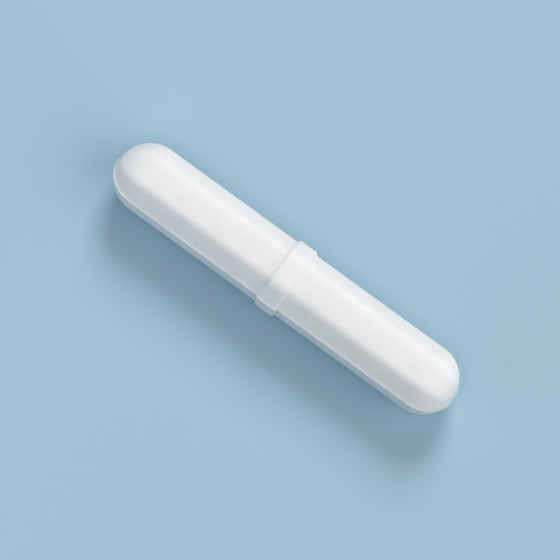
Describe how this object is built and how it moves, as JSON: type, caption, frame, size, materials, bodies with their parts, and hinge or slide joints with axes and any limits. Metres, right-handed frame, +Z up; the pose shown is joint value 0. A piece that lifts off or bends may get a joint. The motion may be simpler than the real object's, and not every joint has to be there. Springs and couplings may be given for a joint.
{
  "type": "magnetic stir bar",
  "caption": "Faceted white stir bar with domed ends and a raised pivot ring round its middle, moulded over a sealed rod magnet. It spins on a magnetic stirrer to mix a liquid.",
  "frame": {"origin": "on the surface the bar stands on, under the middle of the pivot ring", "axes": "+X along the bar, +Z up out of the facet opposite the one it stands on; the ridge where the mould halves met is above the horizontal on the -Y side and below it on the +Y side"},
  "size_m": [0.0452, 0.0086, 0.008],
  "materials": {
    "ptfe": "satin, as moulded",
    "alnico": "bare cast magnet alloy"
  },
  "bodies": {
    "root": {"ptfe_jacket": "ptfe", "bar_magnet": "alnico"}
  },
  "joints": []
}
